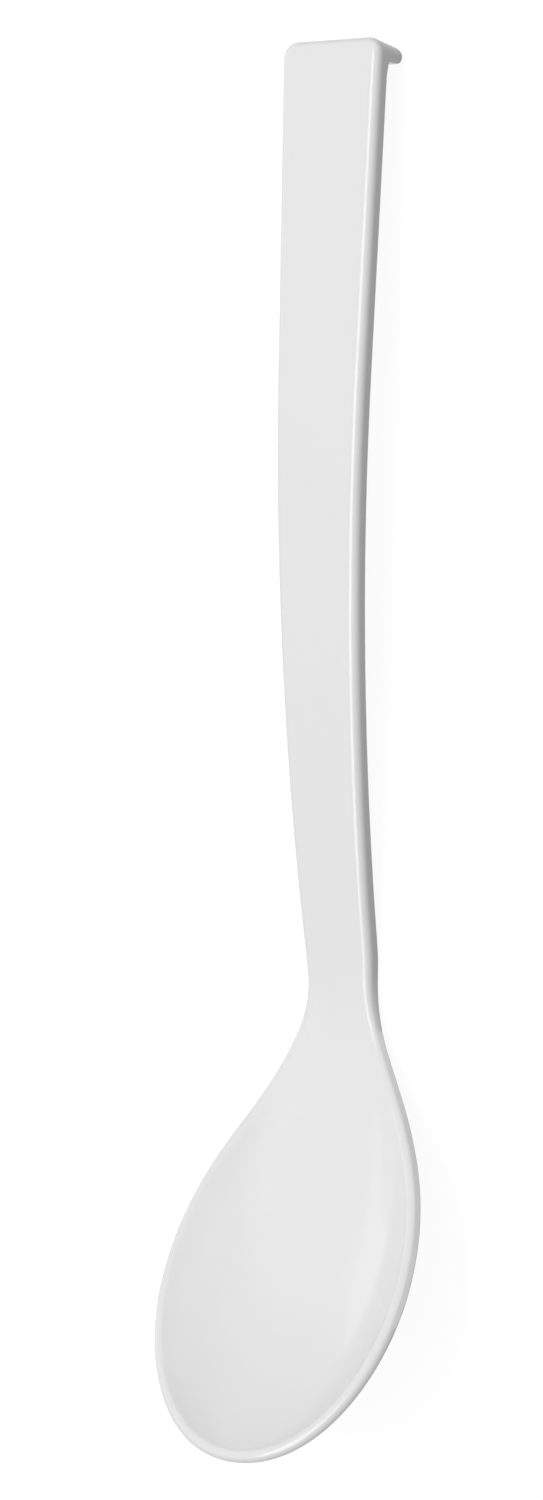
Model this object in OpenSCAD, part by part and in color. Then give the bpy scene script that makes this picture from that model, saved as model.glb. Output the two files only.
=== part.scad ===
// Salad spoon, moulded in one piece: an egg-shaped bowl, a narrow neck, a long
// bowed handle and a hook at the handle's end that holds on the rim of a bowl.
//
// The spoon lies as it rests on a table, bowl upwards: it touches z = 0 with the
// underside of the bowl and with the hook. The bowl's tip points to -Y, the
// handle's end to +Y, and the plane x = 0 cuts the spoon into mirrored halves.
// The origin is on the table, under the middle of the spoon's length.
//
// How the form is made: the front outline is drawn flat, as [x, s], where s is the
// length along the spoon from the tip. The flat drawing is then laid on a bent line,
// the side profile, and an edge section runs all round the outline.

/* [Handle] */
// Length of the handle along its curve, from the neck to the end
handle_l = 200.5; // [160:0.5:250]
// Width of the handle at its end
end_w = 25.5; // [20:0.1:32]
// Width of the handle at the neck
neck_w = 17; // [13:0.1:21]
// Thickness of the handle
handle_t = 4.2; // [3.6:0.1:6]
// Radius of the two corners at the handle's end, seen from the front
corner_r = 3.6; // [2:0.1:5]
// Rounding of the handle's front edges
front_r = 1.9; // [0.8:0.1:2.4]
// Rounding of the back edges, all round the spoon
back_r = 0.8; // [0.4:0.1:1.2]
// Angle through which the handle bows between its straight end and the neck
bow_angle = 13; // [6:0.2:18]
// Radius of that bow, seen from the side
bow_r = 542; // [400:2:700]

/* [Neck] */
// Angle through which the neck turns the bowl up
neck_angle = 35.2; // [22:0.2:44]
// Radius of the neck's bend, seen from the side
neck_r = 65; // [50:1:85]
// Length over which the hollow runs out and the rim's edge grows into the handle's
neck_blend = 22; // [14:1:34]
// Depth of the shallow dish at the neck, as a share of the bowl's depth
neck_dish = 0.02; // [0.01:0.01:0.1]

/* [Bowl] */
// Length of the bowl along its rim, from the tip to the neck
bowl_l = 108.3; // [95:0.1:130]
// Width of the bowl at its widest
bowl_w = 63.2; // [50:0.1:74]
// Distance from the tip to the widest place
widest_at = 41; // [34:0.5:50]
// Length of the straight stretch of the rim, from the tip to the neck's bend
rim_straight = 74; // [64:1:80]
// Depth of the bowl, from its rim to its inside floor
bowl_depth = 9; // [6:0.5:14]
// Thickness of the bowl's floor
floor_t = 2.5; // [1.8:0.1:3.6]
// Height of the rim's outer edge
rim_t = 2.1; // [1.8:0.1:3]
// Rounding of the rim's outer front edge
rim_r = 1.5; // [0.8:0.1:1.8]
// Lean of the rim's outer face, away from upright
rim_lean = 38; // [24:1:44]
// Width of the rounding from the rim's top into the hollow
lip_w = 0.9; // [0.6:0.1:2]
// How full the bowl's cross-section is: 2 is a parabola, more has steeper sides
section_fullness = 3; // [2:0.1:4]
// How fast the hollow deepens from the tip: with this power of the bowl's width
tip_deepening = 2; // [1.6:0.1:3]
// How fast the hollow deepens from the neck, in the same way
neck_deepening = 2.4; // [1.6:0.1:3]
// How blunt the tip is, as the reach of its curve's control point
tip_blunt = 0.63; // [0.5:0.01:0.75]
// How long the bowl keeps its width towards the tip
tip_side = 0.48; // [0.35:0.01:0.6]
// How long the bowl keeps its width towards the neck
shoulder_side = 0.49; // [0.35:0.01:0.6]
// How long the neck stays narrow towards the bowl
shoulder_neck = 0.31; // [0.2:0.01:0.45]

/* [Hook] */
// Reach of the hook behind the handle's back
hook_reach = 5.7; // [4:0.1:9]
// Thickness of the hook at its round end
hook_t = 3.9; // [3:0.1:4.6]
// Slope of the handle's end face and the hook's outside
end_draft = 7; // [2:0.5:9]
// Slope of the hook's inside
hook_draft = 2.3; // [1:0.1:5]

/* [Moulding] */
// Slope of the side walls, so that the spoon leaves its mould
side_draft = 1.5; // [0.5:0.1:3]

/* [Hidden] */

// Derived lengths along the spoon, all from the tip
spoon_l = bowl_l + handle_l;
neck_start = rim_straight;
bow_start = neck_start + neck_r * neck_angle * PI / 180;
bow_end = bow_start + bow_r * bow_angle * PI / 180;

// Number of steps in each stretch of the outline, from the tip to the end's middle
tip_steps = 20;
shoulder_steps = 26;
handle_steps = 20;
hook_steps = 4;
corner_steps = 8;
// Number of steps in each stretch of the section, from the back's middle to the front's
across_steps = 7;
back_round_steps = 4;
front_round_steps = 6;
lip_steps = 3;

// Flat land on top of the edge, between its rounding and the hollow's
land = 0.25;
// Width of the lip's rounding where there is no hollow
plain_lip = 0.6;
// Smallest corner radius that an inset corner may keep
least_corner = 0.2;
// Length by which the hollow starts behind the neck
hollow_start = 6;
// Greatest share of the outer face's height that its front rounding may take
round_share = 0.9;
// Outward directions with less sideways share than this count as straight ahead
least_side = 0.000001;

// Ease from 0 to 1 with level ends
function ease(t) = let (c = max(0, min(1, t))) c * c * (3 - 2 * c);
function mix(a, b, t) = a + (b - a) * t;

// 1 in the bowl, running out to 0 where the handle starts
function in_hollow(s) = ease((bowl_l + hollow_start - s) / neck_blend);

// Side profile: the front surface's middle line as [y, z, slope], for a length s.
// It starts with the handle's straight end and goes back through two bends.
bow_y = -bow_r * sin(bow_angle);
bow_z = -bow_r * (1 - cos(bow_angle));
neck_cy = bow_y - neck_r * sin(bow_angle);
neck_cz = bow_z + neck_r * cos(bow_angle);
rim_slope = bow_angle - neck_angle;
rim_y = neck_cy + neck_r * sin(rim_slope);
rim_z = neck_cz - neck_r * cos(rim_slope);
function degrees_of(length, radius) = length / radius * 180 / PI;
function profile(s) =
    s >= bow_end ? [s - bow_end, 0, 0] :
    s >= bow_start ? bow_point(degrees_of(bow_end - s, bow_r)) :
    s >= neck_start ? neck_point(bow_angle - degrees_of(bow_start - s, neck_r)) :
    [rim_y - (neck_start - s) * cos(rim_slope), rim_z - (neck_start - s) * sin(rim_slope), rim_slope];
function bow_point(slope) = [-bow_r * sin(slope), -bow_r * (1 - cos(slope)), slope];
function neck_point(slope) = [neck_cy + neck_r * sin(slope), neck_cz - neck_r * cos(slope), slope];

// Point in space for a flat place [x, s] and a height h over the front surface
function in_space(x, s, h) =
    let (p = profile(s)) [x, p[0] - h * sin(p[2]), p[1] + h * cos(p[2])];

// Outline of one half, flat, as stations [x, s, nx, ns, r]: a place, the outward
// direction there, and the corner's radius where the station lies on a corner
bowl_side = bowl_w / 2;
neck_side = neck_w / 2;
taper = (end_w - neck_w) / 2 / handle_l;
taper_angle = atan(taper);
shoulder_l = bowl_l - widest_at;
function curve_point(c, t) =
    pow(1 - t, 3) * c[0] + 3 * pow(1 - t, 2) * t * c[1] + 3 * (1 - t) * t * t * c[2] + pow(t, 3) * c[3];
function curve_heading(c, t) =
    pow(1 - t, 2) * (c[1] - c[0]) + 2 * (1 - t) * t * (c[2] - c[1]) + t * t * (c[3] - c[2]);
function curve_station(c, t) =
    let (p = curve_point(c, t), d = curve_heading(c, t), l = norm(d)) [p[0], p[1], d[1] / l, -d[0] / l, 0];
tip_curve = [
    [0, 0],
    [tip_blunt * bowl_side, 0],
    [bowl_side, widest_at * (1 - tip_side)],
    [bowl_side, widest_at]
];
shoulder_curve = [
    [bowl_side, widest_at],
    [bowl_side, widest_at + shoulder_side * shoulder_l],
    [neck_side - taper * shoulder_neck * shoulder_l, bowl_l - shoulder_neck * shoulder_l],
    [neck_side, bowl_l]
];

// The handle's end: its corner's centre, and where the straight side meets it
corner_s = spoon_l - corner_r;
corner_x = neck_side + taper * (corner_s - bowl_l) - corner_r / cos(taper_angle);
side_end = corner_s - corner_r * sin(taper_angle);
function side_station(s) =
    [neck_side + taper * (s - bowl_l), s, cos(taper_angle), -sin(taper_angle), 0];
function corner_station(a) =
    [corner_x + corner_r * cos(a), corner_s + corner_r * sin(a), cos(a), sin(a), corner_r];

// The hook, seen from the side: an inside wall, then a half round to its crest.
// Distances are measured from the handle's end.
hook_r = hook_t / 2;
hook_h = handle_t + hook_reach;
hook_crest = hook_r + hook_h * tan(end_draft);
hook_inside = hook_crest + hook_r;
hook_root = hook_inside + (hook_reach - hook_r) * tan(hook_draft);
function hook_drop(e) =
    e <= hook_crest ? hook_reach :
    e <= hook_inside ? hook_reach - hook_r + sqrt(max(0, hook_r * hook_r - pow(e - hook_crest, 2))) :
    e < hook_root ? (hook_root - e) / tan(hook_draft) :
    0;

// Stations along the straight side where the hook rises, at even steps of its round
side_gap = spoon_l - side_end;
side_turn = acos(min(1, max(0, (side_gap - hook_crest) / hook_r)));
hook_stations = [
    side_station(spoon_l - hook_root),
    for (i = [0:hook_steps - 1])
        side_station(spoon_l - hook_crest - hook_r * cos(side_turn * i / hook_steps))
];

stations = concat(
    [for (i = [0:tip_steps]) curve_station(tip_curve, i / tip_steps)],
    [for (i = [1:shoulder_steps]) curve_station(shoulder_curve, i / shoulder_steps)],
    [for (i = [1:handle_steps]) side_station(mix(bowl_l, spoon_l - hook_root, i / (handle_steps + 1)))],
    hook_stations,
    [for (i = [0:corner_steps]) corner_station(mix(-taper_angle, 90, i / corner_steps))],
    [for (i = [1:across_steps]) [corner_x * (1 - i / across_steps), spoon_l, 0, 1, 0]]
);
last_station = len(stations) - 1;
last_corner = last_station - across_steps;

// Place at a distance d inside the outline. A corner that is used up slides back
// from the end instead of folding over itself.
function inset(st, d) =
    st[4] == 0 || d < st[4] - least_corner ?
        [st[0] - d * st[2], st[1] - d * st[3]] :
        [
            st[0] - (st[4] - least_corner) * st[2],
            st[1] - (st[4] - least_corner) * st[3] - (d - st[4] + least_corner)
        ];

// The end face starts where the corner turns towards the end
function end_share(st) = st[1] > side_end ? pow(max(0, st[3]), 2) : 0;
function wall_draft(st) =
    tan(side_draft) * pow(st[2], 2) + tan(end_draft) * end_share(st);

// The outer edge at a station. The rim's outer face leans away from upright, less so at
// the tip, where it keeps its slope to the handle. Its rounding is cut down where it is low.
function edge_height(st) = mix(handle_t, rim_t, in_hollow(st[1]));
function edge_lean(st) = max(0, rim_lean + rim_slope * max(0, -st[3])) * in_hollow(st[1]);
function edge_round(st) =
    min(
        mix(front_r, rim_r, in_hollow(st[1])),
        round_share * (edge_height(st) - back_r) / (1 - sin(edge_lean(st)))
    );
// Distance from the outline to the top of the edge, and on to the start of the hollow
function edge_top(st) =
    let (lean = edge_lean(st), r = edge_round(st))
    r * cos(lean) + (edge_height(st) - back_r - r * (1 - sin(lean))) * tan(lean);
function lip_of(st) = mix(plain_lip, lip_w, in_hollow(st[1]));
function front_of(st) = edge_top(st) + land + lip_of(st);

// Greatest inner half widths of the front's hollow and of the underside
hollow_side = bowl_side - front_of(stations[tip_steps]);
under_side = bowl_side - back_r - rim_t * tan(side_draft);
hollow_depth = bowl_depth / (1 + section_fullness * lip_w / (2 * hollow_side));
under_depth = bowl_depth + floor_t - rim_t;

// Depth of a hollow at its middle, from its half width there
function deepening(s) = s < widest_at ? tip_deepening : neck_deepening;
function dip(depth, side, full_side, s) =
    depth * in_hollow(s) * (pow(side / full_side, deepening(s)) + neck_dish * pow(min(1, s / bowl_l), 2));

// Slope of the hollow's wall at the lip. The tip takes the slope of its neighbour.
function lip_slope(i) =
    let (
        st = stations[max(1, i)],
        at = inset(st, front_of(st)),
        side = max(0, at[0])
    )
    in_hollow(st[1]) == 0 || side == 0 || st[2] < least_side ? 0 :
        section_fullness * dip(hollow_depth, side, hollow_side, st[1]) / (side * st[2]);

// Half a section at station i, from the back's middle, round the edge, to the front's
function half_section(i) =
    let (
        st = stations[i],
        draft = wall_draft(st),
        round_back = mix(back_r, hook_r, end_share(st)),
        edge_t = edge_height(st),
        crest = inset(st, round_back + (edge_t + hook_reach) * draft),
        edge_h = edge_t + hook_drop(spoon_l - crest[1]),
        back = inset(st, round_back + edge_h * draft),
        back_dip = dip(under_depth, max(0, back[0]), under_side, st[1]),
        round_front = edge_round(st),
        top = edge_top(st),
        lip = lip_of(st),
        slope = lip_slope(i),
        front = inset(st, front_of(st)),
        lip_h = slope * lip / 2,
        front_dip = dip(hollow_depth, max(0, front[0]), hollow_side, st[1])
    )
    concat(
        [for (j = [0:across_steps - 1]) let (f = j / across_steps)
            in_space(back[0] * f, back[1], -edge_h - back_dip * (1 - pow(f, section_fullness)))],
        [for (j = [0:back_round_steps]) let (a = mix(-90, 0, j / back_round_steps))
            edge_point(st, round_back * (1 - cos(a)), round_back * (1 + sin(a)) - edge_h, draft)],
        [for (j = [0:front_round_steps]) let (a = mix(edge_lean(st), 90, j / front_round_steps))
            edge_point(st, top - round_front * cos(a), round_front * (sin(a) - 1), draft)],
        [for (j = [0:lip_steps]) let (t = lip * j / lip_steps)
            edge_point(st, top + land + t, -slope * t * t / (2 * lip), 0)],
        [for (j = [1:across_steps]) let (f = 1 - j / across_steps)
            in_space(front[0] * f, front[1], -lip_h - front_dip * (1 - pow(f, section_fullness)))]
    );
function edge_point(st, d, h, draft) =
    let (p = inset(st, d - h * draft)) in_space(p[0], p[1], h);

section_points = 2 * across_steps + back_round_steps + front_round_steps + lip_steps + 3;
first_round = across_steps;
last_lip = section_points - 1 - across_steps;
raw_half = [for (i = [0:last_station]) each half_section(i)];

// How the spoon rests: the line under the hook's round end and the bowl's underside,
// with no point below it, is turned level. Then the spoon is set on the table and centred.
hook_end = [for (k = [0:back_round_steps]) raw_half[last_station * section_points + first_round + k]];
bowl_back = [for (i = [0:tip_steps + shoulder_steps]) raw_half[i * section_points]];
rest_slope = min([for (h = hook_end) max([for (b = bowl_back) (h[2] - b[2]) / (h[1] - b[1])])]);
rest_angle = atan(rest_slope);
function levelled(p) = [
    p[0],
    p[1] * cos(rest_angle) + p[2] * sin(rest_angle),
    p[2] * cos(rest_angle) - p[1] * sin(rest_angle)
];
level_half = [for (p = raw_half) levelled(p)];
middle_y = (min([for (p = level_half) p[1]]) + max([for (p = level_half) p[1]])) / 2;
table_z = min([for (p = level_half) p[2]]);
right_half = [for (p = level_half) [p[0], p[1] - middle_y, p[2] - table_z]];
left_half = [for (p = right_half) [-p[0], p[1], p[2]]];

// Number of a point: side 0 is the right half, side 1 the left, and the points on the
// middle plane are shared. At the tip the points across the back, and across the front,
// are one. Along the end the inner points are those of the last corner's cross rows.
function point_number(side, i, k) =
    i == 0 ? max(first_round, min(last_lip, k)) :
    i > last_corner && k <= first_round ? side_number(side, last_corner, first_round - i + last_corner) :
    i > last_corner && k >= last_lip ? side_number(side, last_corner, last_lip + i - last_corner) :
    side_number(side, i, k);
function side_number(side, i, k) =
    i * section_points + k + (side == 1 && !on_middle(i, k) ? len(right_half) : 0);
function on_middle(i, k) = i == last_station || k == 0 || k == section_points - 1;
function first_row(i) = i < last_corner ? 0 : first_round;
function last_row(i) = i < last_corner ? section_points - 2 : last_lip - 1;
function is_triangle(t) = t[0] != t[1] && t[1] != t[2] && t[2] != t[0];
spoon_faces = [
    for (side = [0, 1], i = [0:last_station - 1], k = [first_row(i):last_row(i)])
        let (
            a = point_number(side, i, k),
            b = point_number(side, i + 1, k),
            c = point_number(side, i + 1, k + 1),
            d = point_number(side, i, k + 1),
            pair = side == 0 ? [[a, c, b], [a, d, c]] : [[a, b, c], [a, c, d]]
        )
        for (t = pair) if (is_triangle(t)) t
];

module spoon() {
    color("white")
        polyhedron(concat(right_half, left_half), spoon_faces, convexity = 6);
}

spoon();
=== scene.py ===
# %% [markdown]
# # A moulded salad spoon
# The spoon is one piece of glossy white plastic: an egg-shaped bowl, a narrow neck, a long
# bowed handle that widens to its end, and a small hook behind that end. A mould maker draws
# such a spoon flat first and bends the drawing afterwards, and this scene does the same.
# The first cell loads the solid model of the spoon, whose box and place stay as they are.

# %% Load the solid model
import math

import bpy
import numpy as np
from mathutils import Matrix, Vector


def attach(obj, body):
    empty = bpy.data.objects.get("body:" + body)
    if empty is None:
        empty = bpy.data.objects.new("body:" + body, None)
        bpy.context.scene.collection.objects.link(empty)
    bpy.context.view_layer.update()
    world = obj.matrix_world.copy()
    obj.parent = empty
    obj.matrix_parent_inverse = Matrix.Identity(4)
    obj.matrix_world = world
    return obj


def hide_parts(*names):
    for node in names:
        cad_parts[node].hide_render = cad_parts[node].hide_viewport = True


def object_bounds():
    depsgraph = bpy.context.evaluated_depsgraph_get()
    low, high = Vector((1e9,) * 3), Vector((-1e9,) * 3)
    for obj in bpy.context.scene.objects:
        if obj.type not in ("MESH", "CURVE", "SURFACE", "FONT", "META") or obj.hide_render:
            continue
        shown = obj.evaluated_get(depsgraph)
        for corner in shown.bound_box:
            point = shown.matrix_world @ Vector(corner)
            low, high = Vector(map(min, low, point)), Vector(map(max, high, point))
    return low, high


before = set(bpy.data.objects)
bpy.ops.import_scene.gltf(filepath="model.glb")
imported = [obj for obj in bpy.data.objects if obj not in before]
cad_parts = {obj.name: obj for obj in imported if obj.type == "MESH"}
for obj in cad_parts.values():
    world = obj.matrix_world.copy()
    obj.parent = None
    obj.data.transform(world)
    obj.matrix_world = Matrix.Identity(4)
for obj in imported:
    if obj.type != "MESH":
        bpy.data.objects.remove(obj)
cad_low, cad_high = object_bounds()
print("solid model's box in mm:", [round((h - l) * 1000, 2) for l, h in zip(cad_low, cad_high)])

# %% [markdown]
# ## The sizes
# All sizes are the ones that the mould would be cut from, in millimetres and degrees. The
# solid model is made from the same values with fewer steps, so the corners of its flats lie
# on the finer skin that is made below. Lengths along the spoon are counted from the bowl's
# tip, on the front surface.

# %% Sizes in millimetres
HANDLE_LENGTH, HANDLE_THICK = 200.5, 4.2
END_WIDTH, NECK_WIDTH, END_CORNER = 25.5, 17.0, 3.6
FRONT_ROUND, BACK_ROUND = 1.9, 0.8
BOW_ANGLE, BOW_RADIUS = 13.0, 542.0
NECK_ANGLE, NECK_RADIUS = 35.2, 65.0
NECK_BLEND, NECK_DISH, HOLLOW_START = 22.0, 0.02, 6.0
BOWL_LENGTH, BOWL_WIDTH, WIDEST_AT, RIM_STRAIGHT = 108.3, 63.2, 41.0, 74.0
BOWL_DEPTH, FLOOR_THICK, FULLNESS = 9.0, 2.5, 3.0
TIP_DEEPENING, NECK_DEEPENING = 2.0, 2.4
RIM_THICK, RIM_ROUND, RIM_LEAN, ROUND_SHARE = 2.1, 1.5, 38.0, 0.9
LIP_WIDTH, PLAIN_LIP, LAND = 0.9, 0.6, 0.25
TIP_BLUNT, TIP_SIDE, SHOULDER_SIDE, SHOULDER_NECK = 0.63, 0.48, 0.49, 0.31
HOOK_REACH, HOOK_THICK, END_DRAFT, HOOK_DRAFT, SIDE_DRAFT = 5.7, 3.9, 7.0, 2.3, 1.5

SPOON_LENGTH = BOWL_LENGTH + HANDLE_LENGTH
BOWL_SIDE, NECK_SIDE = BOWL_WIDTH / 2, NECK_WIDTH / 2
print("length along the front:", SPOON_LENGTH, "mm")

# %% [markdown]
# ## The outline, drawn flat
# Seen from the front, half the outline is one line: a round tip, a shoulder that draws in
# to the neck, a straight side that widens to the end, and a corner. The tip and the shoulder
# are cubic curves that meet the straight side without a kink. Each place on the line is
# kept with its outward direction, because the edge of the spoon is built along it.

# %% Two curves for the bowl
def cubic(points, t):
    a, b, c, d = np.array(points, float)
    place = (1 - t) ** 3 * a + 3 * (1 - t) ** 2 * t * b + 3 * (1 - t) * t * t * c + t ** 3 * d
    heading = (1 - t) ** 2 * (b - a) + 2 * (1 - t) * t * (c - b) + t * t * (d - c)
    heading = heading / np.linalg.norm(heading)
    return [place[0], place[1], heading[1], -heading[0], 0.0]


TAPER = (END_WIDTH - NECK_WIDTH) / 2 / HANDLE_LENGTH
TAPER_ANGLE = math.atan(TAPER)
SHOULDER = BOWL_LENGTH - WIDEST_AT
TIP_CURVE = [
    (0, 0), (TIP_BLUNT * BOWL_SIDE, 0),
    (BOWL_SIDE, WIDEST_AT * (1 - TIP_SIDE)), (BOWL_SIDE, WIDEST_AT)]
SHOULDER_CURVE = [
    (BOWL_SIDE, WIDEST_AT), (BOWL_SIDE, WIDEST_AT + SHOULDER_SIDE * SHOULDER),
    (NECK_SIDE - TAPER * SHOULDER_NECK * SHOULDER, BOWL_LENGTH - SHOULDER_NECK * SHOULDER),
    (NECK_SIDE, BOWL_LENGTH)]
TIP_STEPS, SHOULDER_STEPS = 60, 78
stations = [cubic(TIP_CURVE, i / TIP_STEPS) for i in range(TIP_STEPS + 1)]
stations += [cubic(SHOULDER_CURVE, i / SHOULDER_STEPS) for i in range(1, SHOULDER_STEPS + 1)]
print("places along the bowl's half outline:", len(stations))

# %% [markdown]
# ## The hook's side view
# Behind its end the handle carries a tongue as wide as itself, which holds the spoon on the
# rim of a salad bowl. From the side the tongue has an inside wall, a half-round end and an
# outside that runs on from the end face. Its depth is a plain function of the distance
# from the end, so it needs no separate mesh: the edge simply gets taller there.

# %% Depth of the hook, and the places where it starts
HOOK_ROUND = HOOK_THICK / 2
HOOK_CREST = HOOK_ROUND + (HANDLE_THICK + HOOK_REACH) * math.tan(math.radians(END_DRAFT))
HOOK_INSIDE = HOOK_CREST + HOOK_ROUND
HOOK_ROOT = HOOK_INSIDE + (HOOK_REACH - HOOK_ROUND) * math.tan(math.radians(HOOK_DRAFT))


def hook_depth(from_end):
    if from_end <= HOOK_CREST:
        return HOOK_REACH
    if from_end <= HOOK_INSIDE:
        rise = math.sqrt(max(0, HOOK_ROUND ** 2 - (from_end - HOOK_CREST) ** 2))
        return HOOK_REACH - HOOK_ROUND + rise
    if from_end < HOOK_ROOT:
        return (HOOK_ROOT - from_end) / math.tan(math.radians(HOOK_DRAFT))
    return 0.0


CORNER_AT = SPOON_LENGTH - END_CORNER
CORNER_X = NECK_SIDE + TAPER * (CORNER_AT - BOWL_LENGTH) - END_CORNER / math.cos(TAPER_ANGLE)
SIDE_END = CORNER_AT - END_CORNER * math.sin(TAPER_ANGLE)
side_turn = math.acos(min(1, max(0, (SPOON_LENGTH - SIDE_END - HOOK_CREST) / HOOK_ROUND)))
print("hook:", HOOK_REACH, "mm behind the back,", round(HOOK_ROOT, 2), "mm long at its root")

# %% [markdown]
# The rest of the outline is the handle's straight side, the rounded corner and the end.
# The places crowd together where the hook's round end rises, because a curve needs them
# there, and lie far apart along the handle, which bends only gently.

# %% Handle, corner and end
HANDLE_STEPS, HOOK_STEPS, CORNER_STEPS, ACROSS = 60, 10, 16, 14


def side_place(s):
    x = NECK_SIDE + TAPER * (s - BOWL_LENGTH)
    return [x, s, math.cos(TAPER_ANGLE), -math.sin(TAPER_ANGLE), 0.0]


def corner_place(angle):
    c, s = math.cos(angle), math.sin(angle)
    return [CORNER_X + END_CORNER * c, CORNER_AT + END_CORNER * s, c, s, END_CORNER]


hook_start = SPOON_LENGTH - HOOK_ROOT
stations += [
    side_place(BOWL_LENGTH + (hook_start - BOWL_LENGTH) * i / (HANDLE_STEPS + 1))
    for i in range(1, HANDLE_STEPS + 2)]
stations += [
    side_place(SPOON_LENGTH - HOOK_CREST - HOOK_ROUND * math.cos(side_turn * i / HOOK_STEPS))
    for i in range(HOOK_STEPS)]
stations += [
    corner_place(-TAPER_ANGLE + (math.pi / 2 + TAPER_ANGLE) * i / CORNER_STEPS)
    for i in range(CORNER_STEPS + 1)]
last_corner = len(stations) - 1
stations += [
    [CORNER_X * (1 - i / ACROSS), SPOON_LENGTH, 0.0, 1.0, 0.0]
    for i in range(1, ACROSS + 1)]
last = len(stations) - 1
print("places on the whole half outline:", len(stations))

# %% [markdown]
# ## One edge all round
# An edge runs round the whole spoon. From the back to the front it has a small rounding, a
# wall that leans by the mould's draft, a sloped face, a larger rounding, a narrow land, and
# a lip that rolls into the hollow. Round the bowl it is a thin rim whose face slopes well
# outwards, less so at the tip, where the bowl itself is tilted. Along the neck it grows to
# the handle's thickness, the slope fades and the hollow runs out. One ease curve, level at
# both ends, blends all of these, so no step shows in the gloss.

# %% Blends and insets
def ease(t):
    t = min(1.0, max(0.0, t))
    return t * t * (3 - 2 * t)


def mix(a, b, t):
    return a + (b - a) * t


def in_hollow(s):
    return ease((BOWL_LENGTH + HOLLOW_START - s) / NECK_BLEND)


SMALLEST_CORNER = 0.2


def inset(place, d):
    x, s, nx, ns, corner = place
    kept = corner - SMALLEST_CORNER
    if corner == 0 or d < kept:
        return x - d * nx, s - d * ns
    return x - kept * nx, s - kept * ns - (d - kept)


def end_share(place):
    return max(0.0, place[3]) ** 2 if place[1] > SIDE_END else 0.0


def edge_shape(place):
    share = in_hollow(place[1])
    thick = mix(HANDLE_THICK, RIM_THICK, share)
    tilt = (NECK_ANGLE - BOW_ANGLE) * max(0.0, -place[3])
    lean = math.radians(max(0.0, RIM_LEAN - tilt) * share)
    face = thick - BACK_ROUND
    rounding = min(mix(FRONT_ROUND, RIM_ROUND, share), ROUND_SHARE * face / (1 - math.sin(lean)))
    top = rounding * math.cos(lean) + (face - rounding * (1 - math.sin(lean))) * math.tan(lean)
    return thick, rounding, lean, top, mix(PLAIN_LIP, LIP_WIDTH, share)


print("the rim's top lies", round(edge_shape(stations[TIP_STEPS])[3], 2), "mm inside the outline")

# %% [markdown]
# ## The bowl's two surfaces
# Across the bowl both the hollow and the underside follow a cubic, which is fuller than a
# parabola: nearly flat in the middle and steep near the rim. Their depth grows with a power
# of the bowl's width, the square towards the tip and a little more towards the neck, so the
# bowl is deepest where it is widest and closes to nothing at the tip. A very small part of
# the depth keeps its size, and lets the hollow run out gently along the neck.

# %% Depth of the hollow and the underside
HOLLOW_SIDE = BOWL_SIDE - edge_shape(stations[TIP_STEPS])[3] - LAND - LIP_WIDTH
UNDER_SIDE = BOWL_SIDE - BACK_ROUND - RIM_THICK * math.tan(math.radians(SIDE_DRAFT))
HOLLOW_DEPTH = BOWL_DEPTH / (1 + FULLNESS * LIP_WIDTH / (2 * HOLLOW_SIDE))
UNDER_DEPTH = BOWL_DEPTH + FLOOR_THICK - RIM_THICK


def dip(depth, side, full_side, s):
    deepening = TIP_DEEPENING if s < WIDEST_AT else NECK_DEEPENING
    steady = NECK_DISH * min(1, s / BOWL_LENGTH) ** 2
    return depth * in_hollow(s) * ((side / full_side) ** deepening + steady)


def lip_slope(i):
    place = stations[max(1, i)]
    s = place[1]
    thick, rounding, lean, top, lip = edge_shape(place)
    side = max(0.0, inset(place, top + LAND + lip)[0])
    if in_hollow(s) == 0 or side == 0 or place[2] < 1e-6:
        return 0.0
    return FULLNESS * dip(HOLLOW_DEPTH, side, HOLLOW_SIDE, s) / (side * place[2])


widest_dip = dip(HOLLOW_DEPTH, HOLLOW_SIDE, HOLLOW_SIDE, WIDEST_AT)
print("hollow is", round(widest_dip, 1), "mm deep inside its lip")

# %% [markdown]
# ## A section at every place
# One section starts at the middle of the back, goes out to the edge, round it, and back
# to the middle of the front. Each point is flat so far: x across, s along, h over the
# front surface. The finer the steps on the roundings, the cleaner the highlights on them.

# %% Half a section
BACK_STEPS, FRONT_STEPS, LIP_STEPS = 8, 18, 9


def section(i):
    place = stations[i]
    s, share = place[1], end_share(place)
    draft = math.tan(math.radians(SIDE_DRAFT)) * place[2] ** 2
    draft += math.tan(math.radians(END_DRAFT)) * share
    round_back = mix(BACK_ROUND, HOOK_ROUND, share)
    thick, rounding, lean, top, lip = edge_shape(place)
    crest = inset(place, round_back + (thick + HOOK_REACH) * draft)
    height = thick + hook_depth(SPOON_LENGTH - crest[1])
    back = inset(place, round_back + height * draft)
    under = dip(UNDER_DEPTH, max(0.0, back[0]), UNDER_SIDE, s)
    slope = lip_slope(i)
    front = inset(place, top + LAND + lip)
    hollow = dip(HOLLOW_DEPTH, max(0.0, front[0]), HOLLOW_SIDE, s)

    def edge(d, h, lean):
        x, along = inset(place, d - h * lean)
        return x, along, h

    points = []
    for j in range(ACROSS):
        f = j / ACROSS
        points.append((back[0] * f, back[1], -height - under * (1 - f ** FULLNESS)))
    for j in range(BACK_STEPS + 1):
        a = math.pi / 2 * (j / BACK_STEPS - 1)
        depth = height - round_back * (1 + math.sin(a))
        points.append(edge(round_back * (1 - math.cos(a)), -depth, draft))
    for j in range(FRONT_STEPS + 1):
        a = mix(lean, math.pi / 2, j / FRONT_STEPS)
        points.append(edge(top - rounding * math.cos(a), rounding * (math.sin(a) - 1), draft))
    for j in range(LIP_STEPS + 1):
        t = lip * j / LIP_STEPS
        points.append(edge(top + LAND + t, -slope * t * t / (2 * lip), 0.0))
    for j in range(1, ACROSS + 1):
        f = 1 - j / ACROSS
        points.append((front[0] * f, front[1], -slope * lip / 2 - hollow * (1 - f ** FULLNESS)))
    return points


sections = np.array([section(i) for i in range(len(stations))])
print("flat half spoon:", sections.shape[0], "sections of", sections.shape[1], "points")

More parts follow.
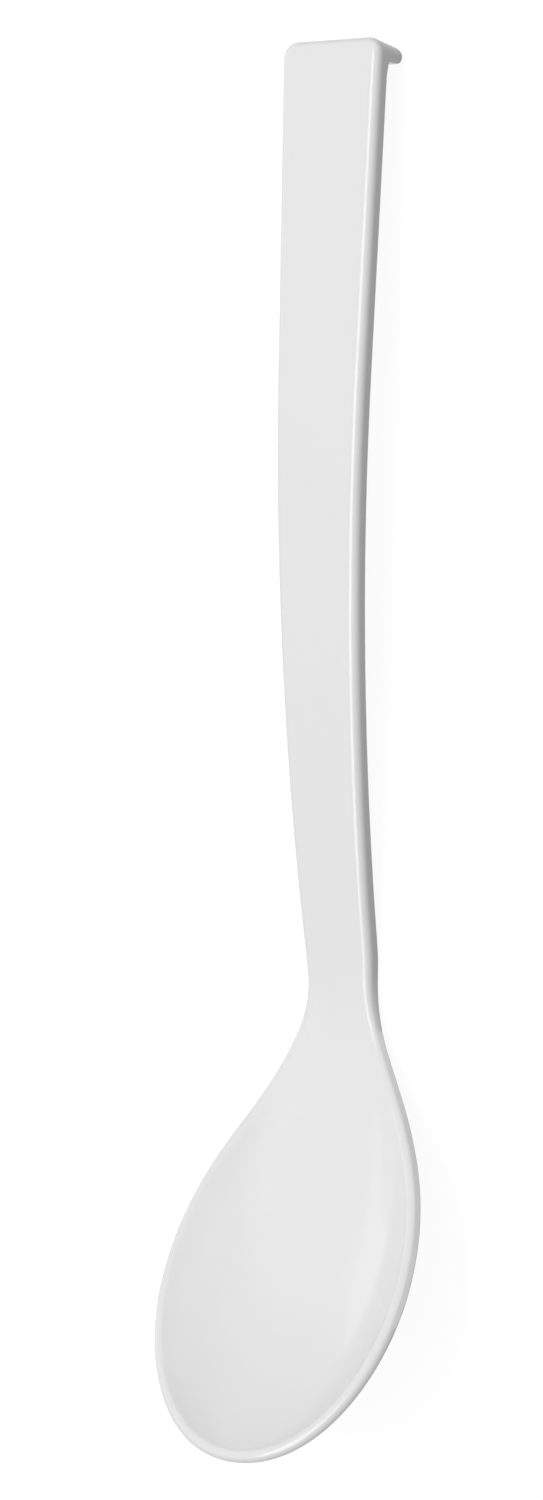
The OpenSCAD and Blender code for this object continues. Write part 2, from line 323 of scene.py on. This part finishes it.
# %% [markdown]
# ## The flat blank
# The sections are joined by faces into half a spoon that is still flat along its length.
# At the tip a section closes to a line, and along the end the sections share the points
# of the last corner, so no face there is left without an area.

# %% Mesh of the flat half
FIRST_ROUND, LAST_LIP = ACROSS, sections.shape[1] - 1 - ACROSS


def point_of(i, k):
    if i == 0:
        return 0, max(FIRST_ROUND, min(LAST_LIP, k))
    if i > last_corner and k <= FIRST_ROUND:
        return last_corner, FIRST_ROUND - (i - last_corner)
    if i > last_corner and k >= LAST_LIP:
        return last_corner, LAST_LIP + (i - last_corner)
    return i, k


numbers, blank_points, blank_faces = {}, [], []
for i in range(last):
    inner = i >= last_corner
    for k in range(FIRST_ROUND if inner else 0, LAST_LIP if inner else sections.shape[1] - 1):
        face = []
        for di, dk in ((0, 0), (1, 0), (1, 1), (0, 1)):
            corner = point_of(i + di, k + dk)
            if corner not in numbers:
                numbers[corner] = len(blank_points)
                blank_points.append(sections[corner] / 1000)
            if numbers[corner] not in face:
                face.append(numbers[corner])
        blank_faces.append(face)
blank_mesh = bpy.data.meshes.new("flat_half")
blank_mesh.from_pydata([tuple(p) for p in blank_points], [], blank_faces)
blank = bpy.data.objects.new("flat_half", blank_mesh)
bpy.context.collection.objects.link(blank)
print("flat half:", len(blank_points), "points,", len(blank_faces), "faces")

# %% [markdown]
# ## White plastic
# The real spoon is moulded in an opaque glossy white plastic from a polished steel mould.
# Its colour is even, but not perfectly so: thick and thin places cool at different rates,
# which leaves a cloudiness of about one part in a hundred. The polish of the mould gives
# a fine grain that is felt only in the highlights, and washing leaves them a little softer
# in some places than in others. So the colour hardly changes, and the roughness and a very
# low bump carry the detail. Three short helpers make the node trees readable first.

# %% Helpers for node trees
def add_node(tree, kind, **values):
    made = tree.nodes.new(kind)
    for name, value in values.items():
        if hasattr(made, name):
            setattr(made, name, value)
        else:
            made.inputs[name.replace("_", " ")].default_value = value
    return made


def join(tree, source, target):
    tree.links.new(source, target)


def new_material(name):
    made = bpy.data.materials.new(name)
    made.use_nodes = True
    made.node_tree.nodes.clear()
    return made, made.node_tree


# %% [markdown]
# Noise gives every part of the finish, at the scale of its cause: clouds in the colour about
# two centimetres wide, patches of polish of half a centimetre, a flow pattern a hundredth
# of a millimetre high, and a grain under a millimetre wide that is lower still. Object
# coordinates keep them all at their real size. The scales are in patches to the metre.

# %% Moulded plastic
DULL_WHITE, CLEAR_WHITE = (0.845, 0.845, 0.845, 1), (0.862, 0.862, 0.860, 1)
CLOUD_SCALE, POLISH_SCALE, GRAIN_SCALE, FLOW_SCALE = 45.0, 160.0, 1500.0, 60.0
GLOSSIEST, LEAST_GLOSSY = 0.12, 0.19
GRAIN_HEIGHT, FLOW_HEIGHT = 0.0000008, 0.000012
PLASTIC_IOR = 1.55

plastic, tree = new_material("white_moulded_plastic")
place_node = add_node(tree, "ShaderNodeTexCoord")
clouds = add_node(tree, "ShaderNodeTexNoise", Scale=CLOUD_SCALE, Detail=2.0, Roughness=0.4)
tint = add_node(tree, "ShaderNodeMix", data_type="RGBA")
tint.inputs["A"].default_value = DULL_WHITE
tint.inputs["B"].default_value = CLEAR_WHITE
polish = add_node(tree, "ShaderNodeTexNoise", Scale=POLISH_SCALE, Detail=3.0, Roughness=0.55)
shine = add_node(tree, "ShaderNodeMapRange", From_Min=0.3, From_Max=0.7)
shine.inputs["To Min"].default_value = GLOSSIEST
shine.inputs["To Max"].default_value = LEAST_GLOSSY
grain = add_node(tree, "ShaderNodeTexNoise", Scale=GRAIN_SCALE, Detail=2.0, Roughness=0.5)
flow = add_node(tree, "ShaderNodeTexNoise", Scale=FLOW_SCALE, Detail=1.0, Roughness=0.4)
fine_bump = add_node(tree, "ShaderNodeBump", Strength=1.0, Distance=GRAIN_HEIGHT)
flow_bump = add_node(tree, "ShaderNodeBump", Strength=1.0, Distance=FLOW_HEIGHT)
surface = add_node(tree, "ShaderNodeBsdfPrincipled", IOR=PLASTIC_IOR)
output = add_node(tree, "ShaderNodeOutputMaterial")
for texture in (clouds, polish, grain, flow):
    join(tree, place_node.outputs["Object"], texture.inputs["Vector"])
join(tree, clouds.outputs["Fac"], tint.inputs["Factor"])
join(tree, tint.outputs["Result"], surface.inputs["Base Color"])
join(tree, polish.outputs["Fac"], shine.inputs["Value"])
join(tree, shine.outputs["Result"], surface.inputs["Roughness"])
join(tree, flow.outputs["Fac"], flow_bump.inputs["Height"])
join(tree, flow_bump.outputs["Normal"], fine_bump.inputs["Normal"])
join(tree, grain.outputs["Fac"], fine_bump.inputs["Height"])
join(tree, fine_bump.outputs["Normal"], surface.inputs["Normal"])
join(tree, surface.outputs["BSDF"], output.inputs["Surface"])
print("plastic has", len(tree.nodes), "nodes")

# %% [markdown]
# ## Bending the blank
# The real spoon's side view is a straight handle end, a long gentle bow, a short bend at
# the neck the other way, and a straight rim. Bending is a rule for every point: its length
# s says how far it has turned through the bow and the neck, and its height h stands
# square to the surface there. Geometry Nodes can apply such a rule to all points at once.
# The first half of the tree is plain arithmetic, one node for each sum or product.

# %% The bending rule as arithmetic nodes
def bent_place(tree, inlet):
    def calc(operation, *values):
        made = add_node(tree, "ShaderNodeMath", operation=operation)
        for socket, value in zip(made.inputs, values):
            if isinstance(value, (int, float)):
                socket.default_value = value
            else:
                join(tree, value, socket)
        return made.outputs[0]

    split = add_node(tree, "ShaderNodeSeparateXYZ")
    join(tree, tree.nodes.new("GeometryNodeInputPosition").outputs[0], split.inputs[0])
    x, s, h = split.outputs

    def turned(start, radius, angle):
        turn = calc("DIVIDE", calc("SUBTRACT", start, s), radius)
        return calc("MINIMUM", calc("MAXIMUM", turn, 0), angle)

    bow = turned(inlet["Bow End"], inlet["Bow Radius"], inlet["Bow Angle"])
    neck = turned(inlet["Neck Start"], inlet["Neck Radius"], inlet["Neck Angle"])
    slope = calc("SUBTRACT", bow, neck)
    flat_end = calc("MAXIMUM", calc("SUBTRACT", s, inlet["Bow End"]), 0)
    rim = calc("MAXIMUM", calc("SUBTRACT", inlet["Rim End"], s), 0)
    sines = calc("SUBTRACT", calc("SINE", slope), calc("SINE", bow))
    cosines = calc("SUBTRACT", calc("COSINE", bow), calc("COSINE", slope))
    y = calc("SUBTRACT", flat_end, calc("MULTIPLY", inlet["Bow Radius"], calc("SINE", bow)))
    y = calc("MULTIPLY_ADD", inlet["Neck Radius"], sines, y)
    y = calc("SUBTRACT", y, calc("MULTIPLY", rim, calc("COSINE", slope)))
    y = calc("SUBTRACT", y, calc("MULTIPLY", h, calc("SINE", slope)))
    z = calc("MULTIPLY", inlet["Bow Radius"], calc("SUBTRACT", calc("COSINE", bow), 1))
    z = calc("MULTIPLY_ADD", inlet["Neck Radius"], cosines, z)
    z = calc("SUBTRACT", z, calc("MULTIPLY", rim, calc("SINE", slope)))
    z = calc("MULTIPLY_ADD", h, calc("COSINE", slope), z)
    bent = add_node(tree, "ShaderNodeCombineXYZ")
    for source, socket in zip((x, y, z), bent.inputs):
        join(tree, source, socket)
    return bent.outputs[0]


# %% [markdown]
# The tree has the radii and angles as named inputs. It moves every point to its bent place,
# mirrors the half, turns the mirrored faces outwards again, and welds the two halves along
# the middle.

# %% The bending tree
BEND_INPUTS = (
    "Rim End", "Neck Start", "Bow End",
    "Neck Radius", "Neck Angle", "Bow Radius", "Bow Angle")
WELD_DISTANCE = 0.000001


def bending_tree():
    tree = bpy.data.node_groups.new("Bend And Mirror", "GeometryNodeTree")
    sockets = {}
    tree.interface.new_socket("Geometry", in_out="INPUT", socket_type="NodeSocketGeometry")
    for name in BEND_INPUTS:
        made = tree.interface.new_socket(name, in_out="INPUT", socket_type="NodeSocketFloat")
        sockets[name] = made.identifier
    made = tree.interface.new_socket("Material", in_out="INPUT", socket_type="NodeSocketMaterial")
    sockets["Material"] = made.identifier
    tree.interface.new_socket("Geometry", in_out="OUTPUT", socket_type="NodeSocketGeometry")
    inlet = tree.nodes.new("NodeGroupInput").outputs
    laid = tree.nodes.new("GeometryNodeSetPosition")
    join(tree, inlet["Geometry"], laid.inputs["Geometry"])
    join(tree, bent_place(tree, inlet), laid.inputs["Position"])
    other = add_node(tree, "GeometryNodeTransform", Scale=(-1, 1, 1))
    join(tree, laid.outputs[0], other.inputs["Geometry"])
    turned_out = tree.nodes.new("GeometryNodeFlipFaces")
    join(tree, other.outputs[0], turned_out.inputs["Mesh"])
    both = tree.nodes.new("GeometryNodeJoinGeometry")
    join(tree, laid.outputs[0], both.inputs[0])
    join(tree, turned_out.outputs[0], both.inputs[0])
    welded = add_node(tree, "GeometryNodeMergeByDistance", Distance=WELD_DISTANCE)
    join(tree, both.outputs[0], welded.inputs["Geometry"])
    smooth = tree.nodes.new("GeometryNodeSetShadeSmooth")
    join(tree, welded.outputs[0], smooth.inputs[0])
    real = tree.nodes.new("GeometryNodeRealizeInstances")
    join(tree, smooth.outputs[0], real.inputs[0])
    dressed = tree.nodes.new("GeometryNodeSetMaterial")
    join(tree, real.outputs[0], dressed.inputs["Geometry"])
    join(tree, inlet["Material"], dressed.inputs["Material"])
    join(tree, dressed.outputs[0], tree.nodes.new("NodeGroupOutput").inputs[0])
    return tree, sockets


bend_tree, bend_sockets = bending_tree()
print("bending tree:", len(bend_tree.nodes), "nodes, inputs", ", ".join(bend_sockets))

# %% [markdown]
# The modifier's inputs are set by their identifiers, then the result is taken as a plain
# mesh and the flat half is thrown away. Lengths become metres here and angles radians.

# %% Bend the blank
neck_start = RIM_STRAIGHT + NECK_RADIUS * math.radians(NECK_ANGLE)
bow_end = neck_start + BOW_RADIUS * math.radians(BOW_ANGLE)
settings = {
    "Rim End": RIM_STRAIGHT / 1000, "Neck Start": neck_start / 1000, "Bow End": bow_end / 1000,
    "Neck Radius": NECK_RADIUS / 1000, "Neck Angle": math.radians(NECK_ANGLE),
    "Bow Radius": BOW_RADIUS / 1000, "Bow Angle": math.radians(BOW_ANGLE), "Material": plastic}
bender = blank.modifiers.new("bend", "NODES")
bender.node_group = bend_tree
for name, value in settings.items():
    bender[bend_sockets[name]] = value
graph = bpy.context.evaluated_depsgraph_get()
spoon_mesh = bpy.data.meshes.new_from_object(blank.evaluated_get(graph))
spoon_mesh.name = "salad_spoon"
bpy.data.objects.remove(blank)
print("bent spoon:", len(spoon_mesh.vertices), "points,", len(spoon_mesh.polygons), "faces")

# %% [markdown]
# ## Laying it on the table
# Put down with its bowl upwards, the spoon rests on two places: the round end of the hook
# and the underside of the bowl near the neck. The line under both is found on the middle
# plane, the spoon is turned until that line is level, and then it is set on the table
# with its middle over the origin. The solid model has longer flats on its curves, so a
# point of this finer skin that would stand past the solid's ends is set back onto them.

# %% Level and seat
ON_MIDDLE, HOOK_PART, BOWL_PART = 1e-7, 0.008, -0.1

points = np.empty(len(spoon_mesh.vertices) * 3)
spoon_mesh.vertices.foreach_get("co", points)
points = points.reshape(-1, 3)
middle = points[np.abs(points[:, 0]) < ON_MIDDLE]
hook_points = middle[middle[:, 1] > middle[:, 1].max() - HOOK_PART]
bowl_points = middle[middle[:, 1] < BOWL_PART]
rises = hook_points[:, None, 2] - bowl_points[None, :, 2]
slopes = rises / (hook_points[:, None, 1] - bowl_points[None, :, 1])
rest_angle = math.atan(slopes.max(axis=1).min())
c, s = math.cos(rest_angle), math.sin(rest_angle)
points[:, 1:] = points[:, 1:] @ np.array([[c, -s], [s, c]])
points[:, 1] -= (points[:, 1].min() + points[:, 1].max()) / 2
points[:, 2] -= points[:, 2].min()
points[:, 1] = np.clip(points[:, 1], cad_low[1], cad_high[1])
spoon_mesh.vertices.foreach_set("co", points.ravel())
spoon_mesh.update()
height_mm = round(points[:, 2].max() * 1000, 2)
print("turned by", round(math.degrees(rest_angle), 3), "degrees; height", height_mm, "mm")

# %% [markdown]
# The welded skin is smooth except where the hook's inside meets the handle's back, which
# is a real inside corner, so edges steeper than forty degrees stay sharp. The skin then
# takes the place of the plain solid, which is hidden, and keeps the plastic that the
# bending tree gave it.

# %% The spoon's skin replaces the plain solid
SHARP_ANGLE = 40

spoon_mesh.set_sharp_from_angle(angle=math.radians(SHARP_ANGLE))
spoon = bpy.data.objects.new("spoon_skin", spoon_mesh)
bpy.context.collection.objects.link(spoon)
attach(spoon, "root")
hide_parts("spoon")
print("skin's box in mm:", [round(float(v) * 1000, 2) for v in np.ptp(points, axis=0)])

# %% [markdown]
# ## A white table
# The photograph has a pure white ground with hardly a shadow on it. The table is a large
# plane. To the camera and in reflections it is a dark paint, which takes the spoon's shadow,
# and a glow of its own, which brings it up to white, so the shadow stays faint. To light
# that is scattered between surfaces it is nearly black, or it would fill in the side of the
# handle, which is clearly darker than the front on the real spoon.

# %% Table
TABLE_HALF = 6
AROUND = ((-1, -1), (1, -1), (1, 1), (-1, 1))
SHADED_PAINT, OWN_GLOW, DULL_PAINT = 0.12, 0.93, 0.04


def seen_directly(tree):
    path = add_node(tree, "ShaderNodeLightPath")
    total = path.outputs["Is Camera Ray"]
    for name in ("Is Glossy Ray", "Is Transmission Ray"):
        plus = add_node(tree, "ShaderNodeMath", operation="ADD", use_clamp=True)
        join(tree, total, plus.inputs[0])
        join(tree, path.outputs[name], plus.inputs[1])
        total = plus.outputs[0]
    return total


white, tree = new_material("white_table")
lit = add_node(tree, "ShaderNodeBsdfDiffuse", Color=(SHADED_PAINT,) * 3 + (1,))
own = add_node(tree, "ShaderNodeEmission", Strength=OWN_GLOW)
shown = add_node(tree, "ShaderNodeAddShader")
dull = add_node(tree, "ShaderNodeBsdfDiffuse", Color=(DULL_PAINT,) * 3 + (1,))
choice = add_node(tree, "ShaderNodeMixShader")
output = add_node(tree, "ShaderNodeOutputMaterial")
join(tree, lit.outputs[0], shown.inputs[0])
join(tree, own.outputs[0], shown.inputs[1])
join(tree, seen_directly(tree), choice.inputs[0])
join(tree, dull.outputs[0], choice.inputs[1])
join(tree, shown.outputs[0], choice.inputs[2])
join(tree, choice.outputs[0], output.inputs["Surface"])
table_mesh = bpy.data.meshes.new("table")
table_corners = [(TABLE_HALF * i, TABLE_HALF * j, 0) for i, j in AROUND]
table_mesh.from_pydata(table_corners, [], [(0, 1, 2, 3)])
table_mesh.materials.append(white)
table = bpy.data.objects.new("table", table_mesh)
bpy.context.collection.objects.link(table)
print("table is", 2 * TABLE_HALF, "m wide")

# %% [markdown]
# ## Studio light
# The highlights on the real spoon give the light away. The bright line along the handle's
# right front edge is a wide soft box that hangs flat above the spoon. The pale crescent in
# the bowl's right half is a smaller one, far to the left and low. A large, faint one behind
# the handle's end brightens the slope inside the bowl's tip, which faces it. The handle's
# right side is dark, so nothing stands there, and the world gives the rest as an even fill.
# A box is given by its brightness, where 1 is that of white paper, and an area lamp's power
# is that brightness times pi times its area.

# %% Soft boxes and fill
FILL_BRIGHTNESS = 0.475

world = bpy.data.worlds.new("studio")
world.use_nodes = True
bpy.context.scene.world = world
tree = world.node_tree
tree.nodes.clear()
fill = add_node(tree, "ShaderNodeBackground", Strength=FILL_BRIGHTNESS)
ground = add_node(tree, "ShaderNodeBackground", Strength=1.0)
fill.inputs["Color"].default_value = ground.inputs["Color"].default_value = (1, 1, 1, 1)
choice = add_node(tree, "ShaderNodeMixShader")
output = add_node(tree, "ShaderNodeOutputWorld")
join(tree, seen_directly(tree), choice.inputs[0])
join(tree, fill.outputs[0], choice.inputs[1])
join(tree, ground.outputs[0], choice.inputs[2])
join(tree, choice.outputs[0], output.inputs["Surface"])


def soft_box(name, place, width, height, brightness, hung_flat=False):
    data = bpy.data.lights.new(name, "AREA")
    data.shape, data.size, data.size_y = "RECTANGLE", width, height
    data.energy = brightness * math.pi * width * height
    lamp = bpy.data.objects.new(name, data)
    lamp.location = place
    lamp.rotation_mode = "QUATERNION"
    if not hung_flat:
        lamp.rotation_quaternion = (-Vector(place)).to_track_quat("-Z", "Y")
    bpy.context.collection.objects.link(lamp)
    print(name, "at", place, "with", round(data.energy, 1), "W")
    return lamp


ABOVE_PLACE, ABOVE_WIDTH, ABOVE_LENGTH = (-0.33, 0.02, 2.2), 1.22, 1.46
box_above = soft_box(
    "box_above", ABOVE_PLACE, ABOVE_WIDTH, ABOVE_LENGTH, brightness=3.45, hung_flat=True)
soft_box("box_left", (-2.056, 0.708, 0.749), width=0.86, height=1.13, brightness=0.65)
soft_box("box_back", (0.95, 1.65, 1.48), width=2.9, height=2.2, brightness=0.52)

# %% [markdown]
# ## What the gloss mirrors
# The box above draws the bright line along the handle's edge. It would also be mirrored as
# a wedge in the hollow beside the neck, which the real spoon doesn't show, and there a
# photographer holds a small white card. So the box's mirror image is a panel of its own,
# and the card hides it from the hollow. The panel hangs in the box's place, and is longer
# towards the bowl, because the line on the real edge runs on where the handle dips to the
# neck. Both are seen by glossy rays alone, and neither gives nor takes light.

# %% Bright panel and white card
def mirrored_sheet(name, place, width, length, brightness):
    paint = bpy.data.materials.new(name)
    paint.use_nodes = True
    paint.cycles.emission_sampling = "NONE"
    paint.node_tree.nodes.clear()
    glow = add_node(paint.node_tree, "ShaderNodeEmission", Strength=brightness)
    output = add_node(paint.node_tree, "ShaderNodeOutputMaterial")
    join(paint.node_tree, glow.outputs[0], output.inputs["Surface"])
    x, y, z = place
    corners = [(x + i * width / 2, y + j * length / 2, z) for i, j in AROUND]
    mesh = bpy.data.meshes.new(name)
    mesh.from_pydata(corners, [], [(0, 1, 2, 3)])
    mesh.materials.append(paint)
    sheet = bpy.data.objects.new(name, mesh)
    bpy.context.collection.objects.link(sheet)
    sheet.visible_camera = sheet.visible_diffuse = False
    sheet.visible_shadow = sheet.visible_transmission = False
    print(name, "at", place, "with brightness", brightness)


PANEL_PLACE, PANEL_LENGTH = (-0.33, -0.225, 2.2), 1.95
box_above.visible_glossy = False
mirrored_sheet("panel_above", PANEL_PLACE, ABOVE_WIDTH, PANEL_LENGTH, brightness=4.2)
mirrored_sheet("white_card", (-0.0265, -0.0745, 0.05), width=0.037, length=0.035, brightness=1.0)

# %% [markdown]
# ## Camera
# The photograph looks down on the spoon with its handle's end at the top, from about
# thirty-five degrees to the right, and from far away, since the handle's two sides hardly
# converge. Yaw, tilt and roll turn the view, and the camera stands back from its target.

# %% Camera
CAMERA_YAW, CAMERA_TILT, CAMERA_ROLL = 34.909, -0.028, 0.517
CAMERA_DISTANCE, FOCAL_PIXELS = 1.3, 6064.2
SENSOR_WIDTH, PHOTO_HEIGHT = 36.0, 1500
target = Vector((-0.013351, -0.001239, 0.010))
ya, ti, ro = (math.radians(v) for v in (CAMERA_YAW, CAMERA_TILT, CAMERA_ROLL))
up = Vector((0, math.cos(ti), -math.sin(ti)))
away = Vector((math.sin(ya), math.cos(ya) * math.sin(ti), math.cos(ya) * math.cos(ti)))
right = up.cross(away)
right_rolled = right * math.cos(ro) + up * math.sin(ro)
up_rolled = up * math.cos(ro) - right * math.sin(ro)
camera_data = bpy.data.cameras.new("camera")
camera_data.sensor_width = SENSOR_WIDTH
camera_data.lens = FOCAL_PIXELS * SENSOR_WIDTH / PHOTO_HEIGHT
camera_data.clip_end = 50
camera = bpy.data.objects.new("camera", camera_data)
turn = Matrix((right_rolled, up_rolled, away)).transposed()
camera.matrix_world = Matrix.Translation(target + away * CAMERA_DISTANCE) @ turn.to_4x4()
bpy.context.collection.objects.link(camera)
bpy.context.scene.camera = camera
print("lens", round(camera_data.lens, 1), "mm; camera at", [round(v, 3) for v in camera.location])

# %% [markdown]
# ## Finish
# The colours are shown as they are, without a film look.

# %% Finish
bpy.context.scene.view_settings.view_transform = "Standard"
